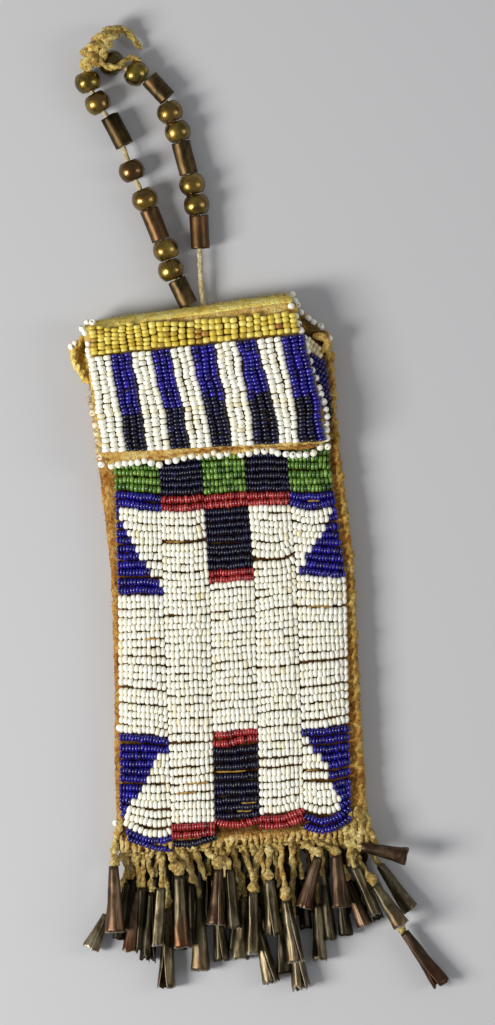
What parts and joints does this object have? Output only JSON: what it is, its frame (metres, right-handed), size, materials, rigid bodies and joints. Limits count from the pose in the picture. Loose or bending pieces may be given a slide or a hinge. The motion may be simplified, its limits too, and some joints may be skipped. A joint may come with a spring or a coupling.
{
  "type": "beaded strike-a-light bag",
  "caption": "Flat hide pouch with lane-stitch seed beadwork, a hinged fold-over flap, a bead-strung thong loop and a fringe of rolled tin cones.",
  "frame": {"origin": "middle of the back panel's outer face, where the bag rests when it lies on its back", "axes": "+X across the bag, +Y up the bag towards the handle, +Z out of the beaded front"},
  "size_m": [0.1088, 0.3153, 0.0148],
  "materials": {
    "hide": "napped ochre brain-tanned hide, worn",
    "thong": "twisted pale hide thong, dry and napped",
    "beads_white": "opaque cream-white seed beads, satin",
    "beads_yellow": "opaque greasy-yellow seed beads, satin",
    "beads_blue": "royal-blue seed beads, glossy",
    "beads_navy": "near-black navy seed beads, glossy",
    "beads_red": "dark red seed beads, glossy",
    "beads_green": "grass-green seed beads, glossy",
    "brass": "round beads of tarnished brass",
    "rolled_copper": "rolled tubes of brown patinated copper alloy",
    "tin": "dark tarnished tinplate with worn bright edges and rust"
  },
  "bodies": {
    "pouch": {"back_panel": "hide", "front_panel": "hide", "side_welt_left": "hide", "side_welt_right": "hide", "bottom_welt": "hide", "bead_lane_1": "beads_white", "bead_lane_2": "beads_white", "bead_lane_3": "beads_white", "bead_lane_4": "beads_white", "bead_lane_5": "beads_white", "flap_fold": "hide"},
    "flap": {"flap_hide": "hide", "flap_yellow_beads": "beads_yellow", "flap_stripes_upper": "beads_blue", "flap_stripes_lower": "beads_navy", "flap_edge_beads": "beads_white"},
    "handle": {"handle_thong_left": "thong", "handle_thong_right": "thong", "handle_knot": "thong", "bead_left_1": "brass", "bead_left_4": "brass", "bead_left_5": "brass", "bead_left_6": "brass", "bead_right_1": "brass", "bead_right_2": "brass", "bead_right_3": "brass", "bead_right_4": "brass", "bead_right_5": "brass", "bead_right_6": "brass", "tube_left_2": "rolled_copper", "tube_left_3": "rolled_copper", "tube_right_1": "rolled_copper", "tube_right_2": "rolled_copper"},
    "tube_right_3": {"tube_right_3": "rolled_copper"},
    "bead_left_3": {"bead_left_3": "brass"},
    "tube_left_1": {"tube_left_1": "rolled_copper"},
    "bead_left_2": {"bead_left_2": "brass"},
    "fringe": {"fringe_strip": "thong"},
    "tinkler_01": {"tinkler_01": "tin"},
    "tinkler_02": {"tinkler_02": "tin"},
    "tinkler_03": {"tinkler_03": "tin"},
    "tinkler_04": {"tinkler_04": "tin"},
    "tinkler_05": {"tinkler_05": "tin"},
    "tinkler_06": {"tinkler_06": "tin"},
    "tinkler_07": {"tinkler_07": "tin"},
    "tinkler_08": {"tinkler_08": "tin"},
    "tinkler_09": {"tinkler_09": "tin"},
    "tinkler_10": {"tinkler_10": "tin"},
    "tinkler_11": {"tinkler_11": "tin"},
    "tinkler_12": {"tinkler_12": "tin"},
    "tinkler_13": {"tinkler_13": "tin"},
    "tinkler_14": {"tinkler_14": "tin"},
    "tinkler_15": {"tinkler_15": "tin"},
    "tinkler_16": {"tinkler_16": "tin"},
    "tinkler_17": {"tinkler_17": "tin"},
    "tinkler_18": {"tinkler_18": "tin"},
    "tinkler_19": {"tinkler_19": "tin"},
    "tinkler_20": {"tinkler_20": "tin"},
    "tinkler_21": {"tinkler_21": "tin"},
    "tinkler_22": {"tinkler_22": "tin"}
  },
  "joints": [
    {"name": "flap_hinge", "type": "hinge", "parent": "pouch", "child": "flap", "pos_m": [-0.00564, 0.0839, 0.0094], "axis": [-0.9976, -0.0698, 0], "range_deg": [0, 110], "deforming": ["flap_fold"]},
    {"name": "handle_swing", "type": "hinge", "parent": "pouch", "child": "handle", "pos_m": [-0.00575, 0.0854, 0.00635], "axis": [-1, 0, 0], "range_deg": [-45, 0], "deforming": ["handle_thong_left", "handle_thong_right"]},
    {"name": "fringe_swing", "type": "hinge", "parent": "pouch", "child": "fringe", "pos_m": [0, -0.08575, 0.0057], "axis": [-1, 0, 0], "range_deg": [0, 50]},
    {"name": "tube_right_3_slide", "type": "slide", "parent": "handle", "child": "tube_right_3", "axis": [-0.0142, -0.9999, 0], "range_m": [0, 0.012]},
    {"name": "bead_left_3_slide", "type": "slide", "parent": "handle", "child": "bead_left_3", "axis": [0.3039, -0.9527, 0], "range_m": [0, 0.0033]},
    {"name": "tube_left_1_slide", "type": "slide", "parent": "handle", "child": "tube_left_1", "axis": [0.4013, -0.9159, 0], "range_m": [0, 0.0048]},
    {"name": "bead_left_2_slide", "type": "slide", "parent": "handle", "child": "bead_left_2", "axis": [0.437, -0.8994, 0], "range_m": [0, 0.002]},
    {"name": "tinkler_01_swing", "type": "hinge", "parent": "fringe", "child": "tinkler_01", "pos_m": [-0.04191, -0.0897, 0.0092], "axis": [-0.9986, 0.0523, 0], "range_deg": [0, 30]},
    {"name": "tinkler_02_swing", "type": "hinge", "parent": "fringe", "child": "tinkler_02", "pos_m": [-0.0347, -0.0989, 0.0033], "axis": [-0.9724, 0.2334, 0], "range_deg": [0, 10]},
    {"name": "tinkler_03_swing", "type": "hinge", "parent": "fringe", "child": "tinkler_03", "pos_m": [-0.03063, -0.0992, 0.0033], "axis": [-0.9905, 0.1374, 0], "range_deg": [0, 30]},
    {"name": "tinkler_04_swing", "type": "hinge", "parent": "fringe", "child": "tinkler_04", "pos_m": [-0.02559, -0.1047, 0.0033], "axis": [-0.994, 0.1097, 0], "range_deg": [0, 10]},
    {"name": "tinkler_05_swing", "type": "hinge", "parent": "fringe", "child": "tinkler_05", "pos_m": [-0.02132, -0.0941, 0.0092], "axis": [-0.9995, 0.0332, 0], "range_deg": [0, 30]},
    {"name": "tinkler_06_swing", "type": "hinge", "parent": "fringe", "child": "tinkler_06", "pos_m": [-0.01576, -0.1022, 0.0033], "axis": [-0.9993, 0.0384, 0], "range_deg": [0, 12]},
    {"name": "tinkler_07_swing", "type": "hinge", "parent": "fringe", "child": "tinkler_07", "pos_m": [-0.0087, -0.0931, 0.0092], "axis": [-0.9914, 0.1305, 0], "range_deg": [0, 30]},
    {"name": "tinkler_08_roll", "type": "hinge", "parent": "fringe", "child": "tinkler_08", "pos_m": [-0.00991, -0.1045, 0.0033], "axis": [0, -1, -0.0037], "range_deg": [-60, 60]},
    {"name": "tinkler_09_swing", "type": "hinge", "parent": "fringe", "child": "tinkler_09", "pos_m": [-0.00516, -0.0933, 0.0092], "axis": [-0.9999, -0.0105, 0], "range_deg": [0, 30]},
    {"name": "tinkler_10_roll", "type": "hinge", "parent": "fringe", "child": "tinkler_10", "pos_m": [-0.00109, -0.1032, 0.0033], "axis": [-0.1288, -0.9916, 0.0077], "range_deg": [-60, 60]},
    {"name": "tinkler_11_swing", "type": "hinge", "parent": "fringe", "child": "tinkler_11", "pos_m": [0.00193, -0.1012, 0.0092], "axis": [-0.9971, 0.0767, 0], "range_deg": [0, 30]},
    {"name": "tinkler_12_swing", "type": "hinge", "parent": "fringe", "child": "tinkler_12", "pos_m": [0.00234, -0.1118, 0.0033], "axis": [-0.9866, -0.1633, 0], "range_deg": [0, 10]},
    {"name": "tinkler_13_swing", "type": "hinge", "parent": "fringe", "child": "tinkler_13", "pos_m": [0.00717, -0.0977, 0.0092], "axis": [-1, -0.007, 0], "range_deg": [0, 30]},
    {"name": "tinkler_14_swing", "type": "hinge", "parent": "fringe", "child": "tinkler_14", "pos_m": [0.01209, -0.1045, 0.0092], "axis": [-0.9962, -0.0872, 0], "range_deg": [0, 30]},
    {"name": "tinkler_15_roll", "type": "hinge", "parent": "fringe", "child": "tinkler_15", "pos_m": [0.01378, -0.1136, 0.0033], "axis": [0.0558, -0.9984, 0.0077], "range_deg": [-60, 60]},
    {"name": "tinkler_16_swing", "type": "hinge", "parent": "fringe", "child": "tinkler_16", "pos_m": [0.02329, -0.0915, 0.0092], "axis": [-0.9397, 0.342, 0], "range_deg": [0, 30]},
    {"name": "tinkler_17_swing", "type": "hinge", "parent": "fringe", "child": "tinkler_17", "pos_m": [0.02942, -0.0913, 0.0092], "axis": [-0.9997, -0.0262, 0], "range_deg": [0, 30]},
    {"name": "tinkler_18_swing", "type": "hinge", "parent": "fringe", "child": "tinkler_18", "pos_m": [0.03212, -0.1001, 0.0033], "axis": [-0.9532, -0.3024, 0], "range_deg": [0, 16]},
    {"name": "tinkler_19_swing", "type": "hinge", "parent": "fringe", "child": "tinkler_19", "pos_m": [0.03748, -0.0891, 0.0092], "axis": [-0.2756, -0.9613, 0], "range_deg": [0, 30]},
    {"name": "tinkler_20_roll", "type": "hinge", "parent": "fringe", "child": "tinkler_20", "pos_m": [0.04304, -0.0958, 0.0033], "axis": [0.4939, -0.8695, 0.0015], "range_deg": [-60, 60]},
    {"name": "tinkler_21_roll", "type": "hinge", "parent": "fringe", "child": "tinkler_21", "pos_m": [0.04078, -0.1017, 0.0092], "axis": [0.4848, -0.8746, 0.0017], "range_deg": [-60, 60]},
    {"name": "tinkler_22_swing", "type": "hinge", "parent": "fringe", "child": "tinkler_22", "pos_m": [0.04925, -0.1178, 0.0033], "axis": [-0.8526, -0.5225, 0], "range_deg": [0, 20]}
  ]
}
